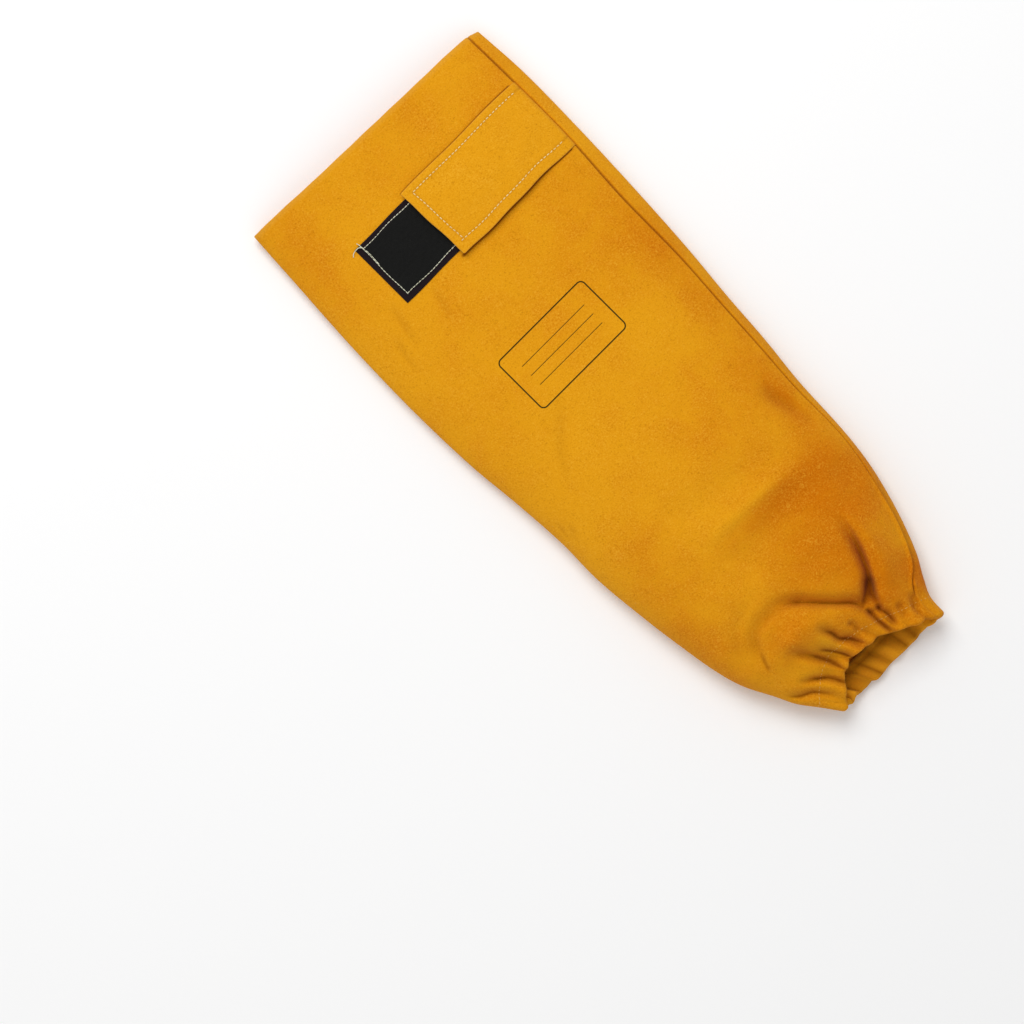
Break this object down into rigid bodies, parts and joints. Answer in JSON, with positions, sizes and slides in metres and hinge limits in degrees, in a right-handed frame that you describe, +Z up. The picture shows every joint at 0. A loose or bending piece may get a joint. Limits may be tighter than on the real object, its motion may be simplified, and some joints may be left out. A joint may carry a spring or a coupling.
{
  "type": "welding sleeve",
  "caption": "Welder's forearm sleeve of suede split leather, lying flat: long side seam, gathered elastic cuff, and a flap closing on loop tape near the arm opening.",
  "frame": {"origin": "under the middle of the sleeve, on the surface it lies on", "axes": "+Y along the sleeve towards the arm opening, +X across to the side with the seam, +Z up from the surface"},
  "size_m": [0.2138, 0.5072, 0.0504],
  "materials": {
    "suede": "golden yellow suede, napped and matt",
    "suede_edge": "raw cut edge of split leather",
    "elastic": "flat woven elastic, off-white",
    "black_tape": "black hook-and-loop tape, matt pile"
  },
  "bodies": {
    "root": {"sleeve_body": "suede", "closure_flap": "suede", "seam_allowance": "suede_edge", "cuff_elastic": "elastic", "loop_tape": "black_tape", "hook_tape": "black_tape"}
  },
  "joints": []
}
